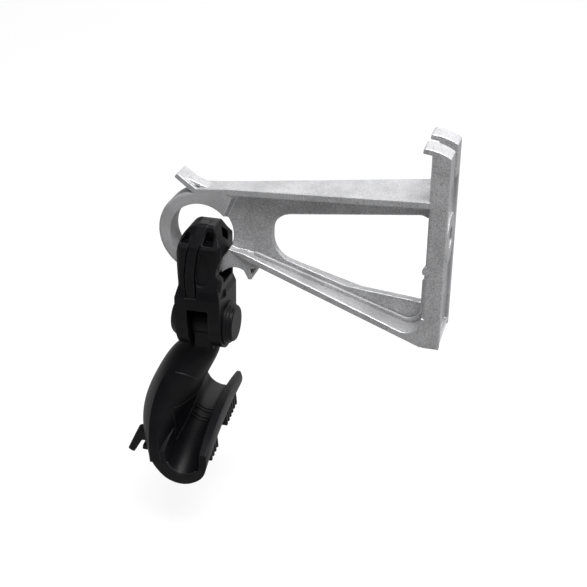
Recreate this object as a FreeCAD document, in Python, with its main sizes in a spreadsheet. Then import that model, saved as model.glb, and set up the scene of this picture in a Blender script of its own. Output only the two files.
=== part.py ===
import FreeCAD
import Part
import Sketcher

import math
import os

from FreeCAD import Placement, Rotation, Vector

# Suspension clamp on its pole bracket: a cast aluminium bracket, a two-piece moulded link
# that hangs in the bracket's ring eye, a pivot pin with its cap, and a moulded cable clamp
# with a sliding grip jaw.
# Frame: origin in the middle of the pole bolt hole, on the pole's face. +X points into the
# pole, Y runs along the cable and +Z is up. Millimetres and degrees.

# Driving sizes: alias, value, meaning
SIZES = [
    ("ring_reach", 191.2, "pole face to the centre of the ring eye"),
    ("ring_drop", 17.3, "bolt hole down to the centre of the ring eye"),
    ("ring_bore_radius", 24.8, "inside radius of the ring eye"),
    ("ring_rim", 9.9, "radial thickness of the ring eye"),
    ("ring_half_width", 9.3, "half the ring eye's width along the cable"),
    ("ring_round", 2.6, "rounding of the ring eye's edges"),
    ("channel_half_width", 25, "half the pole channel's width"),
    ("channel_depth", 13.8, "depth of the pole channel"),
    ("channel_wall", 5, "thickness of the channel's side walls"),
    ("channel_recess", 3, "depth of the recess on the channel's pole side"),
    ("channel_web", 6, "thickness of the channel's cross web"),
    ("channel_foot", 81.5, "bolt hole down to the foot of the channel"),
    ("channel_foot_lip", 5, "height of the closed lip at the channel's foot"),
    ("channel_round", 2.5, "rounding of the channel's front edges"),
    ("hook_height", 69.5, "bolt hole up to the back edge of the hook prongs"),
    ("hook_rise", 5.9, "rise of the hook's crown above its back edge"),
    ("hook_reach", 20.1, "pole face to the tip of the hook's lip"),
    ("hook_lip", 3.6, "thickness of the hook's lip"),
    ("hook_gap", 14, "gap between the two hook prongs"),
    ("hook_gap_depth", 19, "depth of the gap between the prongs"),
    ("boss_radius", 19, "radius of the boss round the bolt hole"),
    ("bolt_hole_radius", 8.25, "radius of the bolt hole"),
    ("stop_proud", 2.4, "height of the strap stops in front of the channel"),
    ("stop_top", 15, "bolt hole down to the top of the strap stops"),
    ("stop_length", 6.5, "length of the strap stops"),
    ("flange_root", 35.5, "height of the top flange at the channel"),
    ("flange_slope", 5.1, "slope of the top flange"),
    ("flange_plate", 4.8, "thickness of both flanges"),
    ("flange_tip_half", 9.3, "half width of both flanges at the ring eye"),
    ("brace_slope", 18.35, "slope of the lower flange"),
    ("web_half", 3, "half the thickness of the arm's web"),
    ("window_left", 135.5, "pole face to the far end of the window"),
    ("window_rib", 16.5, "web kept between the window and the top flange"),
    ("window_sill", 6.5, "web kept between the window and the lower flange"),
    ("window_step", 77, "pole face to the kink in the window's sill"),
    ("tooth_half", 9.2, "half width of the stop tooth under the ring eye"),
    ("tab_brace_half", 5.6, "half width of the brace behind the front tab"),
    ("cove", 3, "rounding between the web and the flanges"),
    ("tab_length", 22, "length of the ring eye's front tab"),
    ("tab_plate", 3.6, "thickness of the front tab"),
    ("tab_half", 9.3, "half width of the front tab"),
    ("tab_slope", 38, "slope of the front tab"),
    ("fit_gap", 0.35, "clearance round the sliding and swinging pieces"),
    ("pivot_gap", 0.08, "running clearance round the pivot pin"),
    ("link_half_width", 18.5, "half the link's width across the cable"),
    ("link_half_depth", 20, "half the link's depth along the cable"),
    ("link_corner", 7, "rounding of the link's upright edges"),
    ("link_crown", 7.2, "ring centre up to the top of the link"),
    ("link_leg_inside", 10.8, "half the space between the link's legs"),
    ("link_eye_drop", 40, "ring centre down to the lower end of the link's eye"),
    ("block_half_depth", 22.3, "half the depth of the link's lower block"),
    ("block_drop", 53, "ring centre down to the full width of the lower block"),
    ("pin_drop", 78.6, "ring centre down to the clamp's pivot pin"),
    ("pin_radius", 6, "radius of the pivot pin"),
    ("pin_head_radius", 14.6, "radius of the pin's head"),
    ("pin_cap_radius", 16.5, "radius of the pin's cap"),
    ("pin_head_plate", 2.8, "thickness of the pin's head"),
    ("pin_cap_plate", 5, "thickness of the pin's cap"),
    ("pin_step_plate", 2.2, "thickness of each step under the pin's head"),
    ("clevis_half_gap", 8.8, "half the clevis gap of the link"),
    ("clevis_roof", 18, "pin up to the roof of the clevis gap"),
    ("ear_radius", 20.5, "radius of the link's ears round the pin"),
    ("rib_half", 3.6, "half the width of the link's strap rib"),
    ("rib_groove", 1.3, "width of the grooves beside the strap rib"),
    ("rib_lean", 8.5, "sideways run of the strap rib from the crown to its foot"),
    ("rib_proud", 0.8, "height of the strap rib"),
    ("latch_window", 8.8, "side of the square latch window"),
    ("clamp_pitch", 12, "hanging pitch of the cable clamp, near end down"),
    ("hub_half", 7.8, "half the width of the clamp's hub"),
    ("hub_radius", 12.2, "radius of the clamp's hub"),
    ("clamp_half_length", 58, "half the clamp's length along the cable"),
    ("groove_radius", 12, "radius of the cable groove at its middle"),
    ("groove_floor", 115, "pin down to the groove's floor at its middle"),
    ("groove_droop", 8.5, "drop of the groove's floor towards its ends"),
    ("groove_flare", 2.5, "widening of the groove towards its ends"),
    ("groove_offset", 11.5, "groove's middle from the pin's plane"),
    ("wall_throat", 21, "pin down to the top of the back wall"),
    ("wall_high", 77, "groove's floor up to the back wall's shoulder"),
    ("wall_middle", 52, "groove's floor up to the back wall's middle section"),
    ("wall_low", 27, "groove's floor up to the back wall's lower section"),
    ("face_high", 27, "pin's plane to the wall's inner face at its shoulder"),
    ("face_middle", 39, "pin's plane to the wall's inner face at its middle"),
    ("face_low", 41, "pin's plane to the wall's inner face at its lower section"),
    ("face_foot", 40, "pin's plane to the wall's inner face at its foot"),
    ("back_high", 34, "pin's plane to the wall's back at its shoulder"),
    ("back_middle", 49, "pin's plane to the wall's back at its middle"),
    ("back_low", 59, "pin's plane to the wall's back at its lower section"),
    ("back_foot", 54, "pin's plane to the wall's back at its foot"),
    ("tip_middle", 6, "pin's plane to the wall's edges at its middle"),
    ("tip_low", 15, "pin's plane to the wall's edges at its lower section"),
    ("tip_foot", 23, "pin's plane to the wall's edges at its foot"),
    ("floor_plate", 9.6, "thickness under the groove's floor at its ends"),
    ("lip_height", 10, "height of the groove's open lip above its centre line"),
    ("lip_plate", 5, "thickness of the open lip"),
    ("chamber_half", 14, "half the width of the space behind the grip jaw"),
    ("chamber_depth", 10, "depth of that space behind the jaw's back"),
    ("chamber_foot", 12, "groove's floor up to that space"),
    ("chamber_waist", 36, "groove's floor up to the kink in its back"),
    ("chamber_mouth", 40, "groove's floor up to its mouth's lower edge"),
    ("chamber_roof", 64, "groove's floor up to its roof"),
    ("chamber_run", 18, "reach of its roof in front of the jaw's back"),
    ("wing_plate", 3.6, "thickness of the back wall's edge"),
    ("jaw_travel", 9, "travel of the grip jaw"),
    ("jaw_half_length", 34, "half the length of the grip jaw"),
    ("jaw_height", 37, "groove's floor up to the jaw's back edge"),
    ("jaw_rise", 6, "rise of the jaw's top from its back edge"),
    ("jaw_setback", 15, "jaw's back behind the groove's side"),
    ("leg_half_width", 10.5, "half the width of each jaw leg"),
    ("tail_half_width", 5, "half the width of the jaw's pull tails"),
    ("tail_spacing", 30, "pull tail's middle from the clamp's middle"),
    ("leg_spacing", 22, "jaw leg's middle from the clamp's middle"),
    ("leg_plate", 6.4, "thickness of the jaw's legs"),
    ("leg_cover", 6, "thickness kept between the groove and the legs"),
    ("riser_plate", 4.5, "thickness of the legs' risers"),
    ("riser_height", 18, "height of the risers above the legs"),
    ("tail_low", 8, "legs' upper face up to the underside of the pull tails"),
    ("tail_high", 17, "legs' upper face up to the top of the pull tails"),
    ("leg_reach", 16.3, "outer face of the jaw's fingers from the groove's middle"),
    ("finger_plate", 5, "thickness of the jaw's fingers"),
    ("finger_height", 13.5, "height of the jaw's fingers"),
    ("tooth_pitch", 5.4, "pitch of the ribs on the jaw's fingers"),
    ("tooth_depth", 2.2, "depth between the ribs on the jaw's fingers"),
    ("tooth_gap", 2, "width of the gaps between the ribs on the jaw's fingers"),
    ("finger_run", 13, "how far the far finger runs on past its leg"),
]


class Size:
    """A length with the expression that ties it to the sheet of sizes."""

    def __init__(self, value, text):
        self.value = value
        self.text = text

    def __add__(self, other):
        other = as_size(other)
        return Size(self.value + other.value, "(%s + %s)" % (self.text, other.text))

    def __radd__(self, other):
        return as_size(other) + self

    def __sub__(self, other):
        other = as_size(other)
        return Size(self.value - other.value, "(%s - %s)" % (self.text, other.text))

    def __rsub__(self, other):
        return as_size(other) - self

    def __mul__(self, other):
        other = as_size(other)
        return Size(self.value * other.value, "(%s * %s)" % (self.text, other.text))

    def __rmul__(self, other):
        return as_size(other) * self

    def __truediv__(self, other):
        other = as_size(other)
        return Size(self.value / other.value, "(%s / %s)" % (self.text, other.text))

    def __neg__(self):
        return 0 - self


def as_size(number):
    """Give a plain number the same form as a size from the sheet."""
    if isinstance(number, Size):
        return number
    return Size(float(number), "%.6g" % number)


def slope_of(angle):
    """Rise over run of a slope given in degrees."""
    return Size(math.tan(math.radians(angle.value)), "tan(%s)" % angle.text)


def cosine(angle):
    return Size(math.cos(math.radians(angle.value)), "cos(%s)" % angle.text)


def sine(angle):
    return Size(math.sin(math.radians(angle.value)), "sin(%s)" % angle.text)


doc = FreeCAD.newDocument("suspension_clamp")
sheet = doc.addObject("Spreadsheet::Sheet", "Sizes")


class Sizes:
    """The driving sizes by name."""


dim = Sizes()
for row, (alias, number, meaning) in enumerate(SIZES, start=1):
    sheet.set("A%d" % row, meaning)
    sheet.set("B%d" % row, str(number))
    sheet.setAlias("B%d" % row, alias)
    setattr(dim, alias, Size(float(number), "Sizes." + alias))
doc.recompute()

# Planes of the sketches: a sketch's own x and y run along these two axes of the part
PLANES = {
    "XY": Rotation(),
    "XZ": Rotation(Vector(1, 0, 0), 90),
    "YZ": Rotation(Vector(1, 1, 1), 120),
}
NORMAL_AXIS = {"XY": "z", "XZ": "y", "YZ": "x"}
DIRECTIONS = {"x": Vector(1, 0, 0), "y": Vector(0, 1, 0), "z": Vector(0, 0, 1)}


class Corner:
    """A corner of an outline, rounded where a radius is given."""

    def __init__(self, x, y, radius=None):
        self.x = as_size(x)
        self.y = as_size(y)
        self.radius = None if radius is None else as_size(radius)
        self.point = Vector(self.x.value, self.y.value, 0)


class Via(Corner):
    """A point that the arc between its two neighbouring corners runs through."""


def bind(owner, path, size):
    """Tie a property to the sheet, unless the size is a plain number."""
    if "Sizes." in size.text:
        owner.setExpression(path, size.text)


def add_datum(sketch, kind, references, size):
    """Add a dimension to a sketch and tie it to the sheet."""
    index = sketch.addConstraint(Sketcher.Constraint(kind, *references, size.value))
    bind(sketch, "Constraints[%d]" % index, size)


def pin_point(sketch, geometry, position, corner):
    """Fix a point of a sketch at a corner's two coordinates."""
    add_datum(sketch, "DistanceX", (-1, 1, geometry, position), corner.x)
    add_datum(sketch, "DistanceY", (-1, 1, geometry, position), corner.y)


def outline(name, plane, corners, offset=0):
    """Draw a closed outline of lines and arcs whose every corner is bound to the sheet."""
    sketch = doc.addObject("Sketcher::SketchObject", name)
    place_sketch(sketch, plane, offset)
    stops = [c for c in corners if not isinstance(c, Via)]
    vias = [None] * len(stops)
    for index, corner in enumerate(corners):
        if isinstance(corner, Via):
            before = [c for c in corners[:index] if not isinstance(c, Via)]
            vias[len(before) - 1] = corner
    count = len(stops)
    entries, exits = rounded_ends(stops)
    edges = []
    for index in range(count):
        start = exits[index]
        end = entries[(index + 1) % count]
        if vias[index] is None:
            shape = Part.LineSegment(start, end)
        else:
            shape = Part.Arc(start, vias[index].point, end)
        edges.append(sketch.addGeometry(shape, False))
    ends = [arc_ends(sketch, edges[i], exits[i]) for i in range(count)]
    for index, corner in enumerate(stops):
        last = edges[index - 1]
        this = edges[index]
        last_end = ends[index - 1][1]
        this_start = ends[index][0]
        if corner.radius is None:
            sketch.addConstraint(Sketcher.Constraint("Coincident", last, last_end, this, this_start))
            pin_point(sketch, this, this_start, corner)
            continue
        apex = sketch.addGeometry(Part.Point(corner.point), True)
        pin_point(sketch, apex, 1, corner)
        sketch.addConstraint(Sketcher.Constraint("PointOnObject", apex, 1, last))
        sketch.addConstraint(Sketcher.Constraint("PointOnObject", apex, 1, this))
        middle = round_middle(entries[index], corner, exits[index])
        arc = sketch.addGeometry(Part.Arc(entries[index], middle, exits[index]), False)
        first, second = arc_ends(sketch, arc, entries[index])
        sketch.addConstraint(Sketcher.Constraint("Tangent", last, last_end, arc, first))
        sketch.addConstraint(Sketcher.Constraint("Tangent", this, this_start, arc, second))
        add_datum(sketch, "Radius", (arc,), corner.radius)
    for index, via in enumerate(vias):
        if via is not None:
            mark = sketch.addGeometry(Part.Point(via.point), True)
            pin_point(sketch, mark, 1, via)
            sketch.addConstraint(Sketcher.Constraint("PointOnObject", mark, 1, edges[index]))
    return sketch


def place_sketch(sketch, plane, offset):
    """Lay a sketch in a plane, moved along the plane's normal by the offset."""
    offset = as_size(offset)
    axis = NORMAL_AXIS[plane]
    sketch.Placement = Placement(DIRECTIONS[axis] * offset.value, PLANES[plane])
    bind(sketch, "Placement.Base.%s" % axis, offset)


def rounded_ends(stops):
    """Points where each corner's rounding begins and ends."""
    entries, exits = [], []
    count = len(stops)
    for index, corner in enumerate(stops):
        if corner.radius is None:
            entries.append(corner.point)
            exits.append(corner.point)
            continue
        before = (stops[index - 1].point - corner.point).normalize()
        after = (stops[(index + 1) % count].point - corner.point).normalize()
        half = before.getAngle(after) / 2
        reach = corner.radius.value / math.tan(half)
        entries.append(corner.point + before * reach)
        exits.append(corner.point + after * reach)
    return entries, exits


def round_middle(entry, corner, leave):
    """Middle point of a corner's rounding arc."""
    chord = (entry + leave) * 0.5
    inward = (chord - corner.point).normalize()
    half = (entry - corner.point).getAngle(leave - corner.point) / 2
    centre = corner.point + inward * (corner.radius.value / math.sin(half))
    return centre - inward * corner.radius.value


def arc_ends(sketch, index, start):
    """Vertex numbers of an edge's two ends, the one at start first."""
    first = sketch.getPoint(index, 1)
    if (first - start).Length < 1e-6:
        return 1, 2
    return 2, 1


def circle(name, plane, centre, radius, offset=0):
    """Draw a circle whose centre and radius are bound to the sheet."""
    sketch = doc.addObject("Sketcher::SketchObject", name)
    place_sketch(sketch, plane, offset)
    radius = as_size(radius)
    index = sketch.addGeometry(Part.Circle(centre.point, Vector(0, 0, 1), radius.value), False)
    pin_point(sketch, index, 3, centre)
    add_datum(sketch, "Radius", (index,), radius)
    return sketch


def extrude(name, sketch, axis, before, after):
    """Extrude a sketch along an axis from one coordinate to another, measured from its plane."""
    solid = doc.addObject("Part::Extrusion", name)
    solid.Base = sketch
    solid.DirMode = "Custom"
    solid.Dir = DIRECTIONS[axis]
    solid.Solid = True
    before = as_size(before)
    after = as_size(after)
    solid.LengthFwd = after.value
    solid.LengthRev = -before.value
    bind(solid, "LengthFwd", after)
    bind(solid, "LengthRev", -before)
    return solid


def slab(name, plane, corners, half, middle=0):
    """Extrude an outline both ways from its plane by half its thickness."""
    sketch = outline(name + "_outline", plane, corners, middle)
    half = as_size(half)
    return extrude(name, sketch, NORMAL_AXIS[plane], -half, half)


def rod(name, plane, centre, radius, before, after):
    """A cylinder across a plane, from one coordinate to another."""
    sketch = circle(name + "_outline", plane, centre, radius)
    return extrude(name, sketch, NORMAL_AXIS[plane], before, after)


def fuse(name, parts):
    result = doc.addObject("Part::MultiFuse", name)
    result.Shapes = parts
    result.Refine = True
    return result


def common(name, parts):
    result = doc.addObject("Part::MultiCommon", name)
    result.Shapes = parts
    result.Refine = True
    return result


def cut(name, base, tool):
    result = doc.addObject("Part::Cut", name)
    result.Base = base
    result.Tool = tool
    result.Refine = True
    return result


def loft(name, sections):
    result = doc.addObject("Part::Loft", name)
    result.Sections = sections
    result.Solid = True
    result.Ruled = False
    return result


def fillet(name, base, radius, chosen):
    """Round the edges of a solid that the test picks."""
    doc.recompute()
    result = doc.addObject("Part::Fillet", name)
    result.Base = base
    numbers = [n for n, edge in enumerate(base.Shape.Edges, start=1) if chosen(edge)]
    if not numbers:
        raise RuntimeError("no edge to round for " + name)
    result.Edges = [(n, radius.value, radius.value) for n in numbers]
    return result


def hang(solid, name, x, z, pitch=None):
    """Name a finished piece and put it at its hanging point."""
    solid.Label = name
    turn = Rotation() if pitch is None else Rotation(Vector(1, 0, 0), pitch.value)
    solid.Placement = Placement(Vector(x.value, 0, z.value), turn)
    bind(solid, "Placement.Base.x", x)
    bind(solid, "Placement.Base.z", z)
    if pitch is not None:
        bind(solid, "Placement.Rotation.Angle", pitch)
    return solid


def edge_along(edge, axis):
    """Whether a straight edge runs along an axis."""
    if not isinstance(edge.Curve, Part.Line):
        return False
    return abs(abs(edge.Curve.Direction.dot(DIRECTIONS[axis])) - 1) < 1e-6


# The bracket

ring_x = -dim.ring_reach
ring_z = -dim.ring_drop
ring_radius = dim.ring_bore_radius + dim.ring_rim
flange_fall = slope_of(dim.flange_slope)
brace_fall = slope_of(dim.brace_slope)


def flange_top(x):
    """Height of the top flange's upper face at a distance from the pole."""
    return dim.flange_root + flange_fall * (x + dim.channel_depth)


def brace_foot(x):
    """Height of the lower flange's under face at a distance from the pole."""
    return -dim.channel_foot - brace_fall * (x + dim.channel_depth)


def channel():
    """The channel that seats on the pole, open to the back and to the front."""
    half = dim.channel_half_width
    side = half - dim.channel_wall
    front = -dim.channel_depth
    web_back = -dim.channel_recess
    web_front = web_back - dim.channel_web
    section = outline("channel_section", "XY", [
        Corner(0, -half),
        Corner(0, -side),
        Corner(web_back, -side),
        Corner(web_back, side),
        Corner(0, side),
        Corner(0, half),
        Corner(front, half, dim.channel_round),
        Corner(front, side, 1),
        Corner(web_front, side, 2),
        Corner(web_front, -side, 2),
        Corner(front, -side, 1),
        Corner(front, -half, dim.channel_round),
    ])
    top = dim.hook_height - dim.hook_gap_depth
    rails = extrude("channel_rails", section, "z", -dim.channel_foot, top)
    foot = slab("channel_foot", "XZ", [
        Corner(0, -dim.channel_foot, 4),
        Corner(0, dim.channel_foot_lip - dim.channel_foot),
        Corner(front + 1, dim.channel_foot_lip - dim.channel_foot),
        Corner(front + 1, -dim.channel_foot),
    ], half - 1)
    boss = rod("bolt_boss", "YZ", Corner(0, 0), dim.boss_radius, web_back, 0)
    return fuse("pole_channel", [rails, foot, boss])


def prongs():
    """The two hook prongs at the channel's head, each with a curved crown and a lip."""
    front = -dim.channel_depth
    crown = dim.hook_height + dim.hook_rise
    root = dim.hook_height - dim.hook_gap_depth - 6
    half = dim.hook_gap / 2
    thick = (dim.channel_half_width - half) / 2
    profile = [
        Corner(0, root),
        Corner(0, dim.hook_height),
        Via(-0.45 * dim.hook_reach, crown - 1.6),
        Corner(-0.92 * dim.hook_reach, crown),
        Corner(-dim.hook_reach, crown - 0.3),
        Corner(-dim.hook_reach - 0.3, crown - dim.hook_lip, 0.6),
        Corner(front, crown - dim.hook_lip - 0.9, 1),
        Corner(front, root),
    ]
    solids = []
    for side, middle in (("near", -half - thick), ("far", half + thick)):
        solids.append(slab("prong_" + side, "XZ", profile, thick, middle))
    return solids


def strap_stops():
    """The two small stops in front of the channel that keep a strap from sliding."""
    front = -dim.channel_depth
    top = -dim.stop_top
    tip = front - dim.stop_proud
    wall = dim.channel_wall / 2
    profile = [
        Corner(front + 2, top),
        Corner(front, top),
        Corner(tip, top - 0.6 * dim.stop_length, 1),
        Corner(tip + 1, top - dim.stop_length, 0.5),
        Corner(front + 2, top - dim.stop_length),
    ]
    middle = dim.channel_half_width - wall
    return [
        slab("strap_stop_near", "XZ", profile, wall, -middle),
        slab("strap_stop_far", "XZ", profile, wall, middle),
    ]


def tapered(name, band, root_x):
    """A flange: a sloping band trimmed to its plan, wide at the channel and slim at the ring."""
    half = dim.channel_half_width
    tip = dim.flange_tip_half
    stretch = slab(name + "_band", "XZ", band, half)
    far = ring_x - 4
    plan = outline(name + "_plan", "XY", [
        Corner(root_x, -half),
        Corner(root_x, half),
        Corner(-dim.channel_depth - 1, half, 3),
        Corner(far + 24, tip),
        Corner(far, tip),
        Corner(far, -tip),
        Corner(far + 24, -tip),
        Corner(-dim.channel_depth - 1, -half, 3),
    ])
    trim = extrude(name + "_trim", plan, "z", -2 * dim.channel_foot, 2 * dim.channel_foot)
    return common(name, [stretch, trim])


def arm():
    """The web with its window, both flanges and the fillets between them."""
    inside = -dim.channel_recess - dim.channel_web / 2
    plate = dim.flange_plate
    edge = -dim.channel_depth + dim.channel_round
    far = ring_x + 0.3 * dim.ring_bore_radius
    tip = ring_x - 3
    upper = tapered("top_flange", [
        Corner(edge, flange_top(edge)),
        Corner(tip, flange_top(tip)),
        Corner(tip, flange_top(tip) - plate),
        Corner(edge, flange_top(edge) - plate),
    ], edge)
    near = ring_x + ring_radius
    thick = plate / cosine(dim.brace_slope)
    root = -dim.channel_depth - 0.8
    lower = tapered("lower_flange", [
        Corner(edge, brace_foot(edge) + 4),
        Corner(edge, brace_foot(edge) + 24),
        Corner(root, brace_foot(root) + 24),
        Corner(root, brace_foot(root) + thick, 12),
        Corner(near, brace_foot(near) + thick),
        Corner(near - 12, brace_foot(near - 12) + 0.5 * thick),
        Corner(near, brace_foot(near)),
        Corner(-dim.channel_depth, brace_foot(-dim.channel_depth)),
    ], edge)
    sheet_web = slab("arm_web", "XZ", [
        Corner(inside, flange_top(inside) - plate / 2),
        Corner(far, flange_top(far) - plate / 2),
        Corner(ring_x, ring_z),
        Corner(near - 12, brace_foot(near - 12) + thick / 2),
        Corner(-dim.channel_depth, brace_foot(-dim.channel_depth) + thick / 2),
        Corner(inside, brace_foot(inside) + thick / 2),
    ], dim.web_half)
    arm_blank = fuse("arm", [upper, lower, sheet_web])

    def inner_corner(edge):
        """Whether an edge lies where the web meets a flange's inner face."""
        for vertex in edge.Vertexes:
            point = vertex.Point
            under = point.z - flange_top(point.x).value + plate.value
            over = point.z - brace_foot(point.x).value - thick.value
            beside = abs(point.y) - dim.web_half.value
            if abs(beside) > 0.01 or min(abs(under), abs(over)) > 0.05:
                return False
        return True

    return fillet("arm_rounded", arm_blank, dim.cove, inner_corner)


def window():
    """The cut through the web between the flanges."""
    left = -dim.window_left
    right = -dim.channel_depth
    step = -dim.window_step
    rib = dim.flange_plate + dim.window_rib
    sill = dim.flange_plate / cosine(dim.brace_slope) + dim.window_sill
    return slab("window", "XZ", [
        Corner(left, flange_top(left) - rib, 16),
        Corner(right, flange_top(right) - rib + 3, 9),
        Corner(right, brace_foot(right) + sill + 15, 4),
        Corner(step, brace_foot(step) + sill),
        Corner(left, brace_foot(left) + sill, 20),
    ], 2 * dim.web_half)


def ring_eye():
    """The ring eye, thick on its free side and bevelled down to the web beside the arm."""
    ring = rod("ring_blank", "XZ", Corner(ring_x, ring_z), ring_radius,
               -dim.ring_half_width, dim.ring_half_width)
    rounded = fillet("ring_rounded", ring, dim.ring_round, lambda edge: edge.Length > 1
                     and not edge_along(edge, "y"))
    gusset = slab("ring_gusset", "XZ", [
        Corner(ring_x - 3, ring_z + 28),
        Corner(ring_x - 3, flange_top(ring_x - 3) - 1),
        Corner(ring_x + 30, flange_top(ring_x + 30) - 1),
        Corner(ring_x + 30, ring_z + 12),
        Corner(ring_x + 18, ring_z + 18),
    ], dim.ring_half_width)
    blank = fuse("ring_and_gusset", [rounded, gusset])
    sides = []
    for side, sign in (("near", -1), ("far", 1)):
        web = sign * dim.web_half
        rim = sign * (dim.ring_half_width + 0.4)
        sides.append(loft("ring_bevel_" + side, [
            bevel_section("bevel_foot_" + side, web, 0),
            bevel_section("bevel_head_" + side, rim, 3),
        ]))
    return cut("ring_eye", blank, fuse("ring_bevels", sides))


def bevel_section(name, y, shift):
    """What the bevel takes from the ring at a distance from the middle plane."""
    far = ring_x + 2 * ring_radius
    return outline(name, "XZ", [
        Corner(ring_x + 22 - shift, ring_z - 9),
        Corner(ring_x + 20.5 - shift, ring_z + 15),
        Corner(ring_x + 28 - shift, ring_z + 33),
        Corner(far, ring_z + 33),
        Corner(far, ring_z - 9 - slope_of(dim.brace_slope) * 2 * (ring_radius - 11)),
    ], -y)


def stop_tooth():
    """The tooth under the ring eye that the link meets when it swings towards the pole."""
    foot = ring_z - 33.6
    tooth = slab("tooth_blank", "XZ", [
        Corner(ring_x + 15, ring_z - 12),
        Corner(ring_x + 17, ring_z - 30.4),
        Via(ring_x + 26.6, ring_z - 24.8),
        Corner(ring_x + 34.6, ring_z - 26.6),
        Corner(ring_x + 38.2, foot, 1),
        Corner(ring_x + 40.8, foot, 1),
        Corner(ring_x + 46.6, ring_z - 22.2),
        Corner(ring_x + 49, ring_z - 18),
    ], dim.tooth_half)
    nicks = []
    for side, sign in (("near", -1), ("far", 1)):
        nicks.append(slab("tooth_pocket_" + side, "XZ", [
            Corner(ring_x + 39.4, ring_z - 24.6, 0.5),
            Corner(ring_x + 40.8, ring_z - 30, 0.5),
            Corner(ring_x + 44.6, ring_z - 23.2, 0.5),
        ], 2.5, sign * dim.tooth_half))
    return cut("stop_tooth", tooth, fuse("tooth_pockets", nicks))


def front_tab():
    """The tab over the ring eye with its brace back to the top flange."""
    slant = dim.tab_slope
    root_x = ring_x - 3
    root_z = flange_top(ring_x) - dim.flange_plate - 1
    run = cosine(slant)
    rise = sine(slant)
    tip_x = root_x - dim.tab_length * run
    tip_z = root_z + dim.tab_length * rise
    back_x = dim.tab_plate * rise
    back_z = dim.tab_plate * run
    tab = slab("front_tab_plate", "XZ", [
        Corner(root_x + 6, root_z - 5),
        Corner(root_x, root_z),
        Corner(tip_x, tip_z, 0.8),
        Corner(tip_x + back_x, tip_z + back_z, 0.8),
        Corner(root_x + back_x + 3, root_z + back_z - 1),
        Corner(root_x + 12, root_z - 3),
    ], dim.tab_half)
    crest_x = tip_x + 0.36 * dim.tab_length * run
    crest_z = tip_z - 0.36 * dim.tab_length * rise + back_z
    heel_x = ring_x + 5
    brace = slab("tab_brace", "XZ", [
        Corner(root_x, root_z),
        Corner(crest_x, crest_z),
        Corner(crest_x + 3, crest_z + 0.6, 1.5),
        Corner(heel_x, flange_top(heel_x)),
        Corner(heel_x, flange_top(heel_x) - 2),
    ], dim.tab_brace_half)
    side = (dim.tab_brace_half - 1.5) / 2
    pocket_corners = [
        Corner(crest_x + 3.4, crest_z - 2, 0.6),
        Corner(heel_x - 2.6, flange_top(heel_x) - 1.6, 0.6),
        Corner(root_x + 3.4, root_z + 2.6, 0.6),
    ]
    hollow = fuse("tab_pockets", [
        slab("tab_pocket_near", "XZ", pocket_corners, side, -1.5 - side),
        slab("tab_pocket_far", "XZ", pocket_corners, side, 1.5 + side),
    ])
    return tab, cut("tab_brace_open", brace, hollow)


def bracket():
    """The whole casting."""
    blank = cut("arm_open", arm(), window())
    tab, brace = front_tab()
    body = fuse("casting", [channel(), *prongs(), *strap_stops(), blank, ring_eye(),
                            stop_tooth(), tab, brace])
    eye = rod("eye_bore", "XZ", Corner(ring_x, ring_z), dim.ring_bore_radius,
              -2 * dim.ring_half_width, 2 * dim.ring_half_width)
    hole = rod("bolt_hole", "YZ", Corner(0, 0), dim.bolt_hole_radius,
               -2 * dim.channel_depth, dim.channel_depth)
    seat = rod("washer_seat", "YZ", Corner(0, 0), 1.8 * dim.bolt_hole_radius,
               -2 * dim.channel_depth, -dim.channel_recess - dim.channel_web)
    bored = cut("casting_bored", body, fuse("bores", [eye, hole, seat]))
    return hang(bored, "bracket", as_size(0), as_size(0))


# The link, in its own frame: origin on the ring eye's axis, moved out by the link's shift

pin_z = -dim.pin_drop


def box_cut(name, x, y, z, half_x, half_y, half_z, turn=None):
    """A box about its middle, turned about that middle where a turn is given."""
    box = doc.addObject("Part::Box", name)
    sizes = (2 * as_size(half_x), 2 * as_size(half_y), 2 * as_size(half_z))
    for path, size in zip(("Length", "Width", "Height"), sizes):
        setattr(box, path, size.value)
        bind(box, path, size)
    turn = turn or Rotation()
    corner = turn.multVec(Vector(*(-size.value / 2 for size in sizes)))
    place = [as_size(x) + corner.x, as_size(y) + corner.y, as_size(z) + corner.z]
    box.Placement = Placement(Vector(*(size.value for size in place)), turn)
    for axis, size in zip("xyz", place):
        bind(box, "Placement.Base." + axis, size)
    return box


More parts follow.
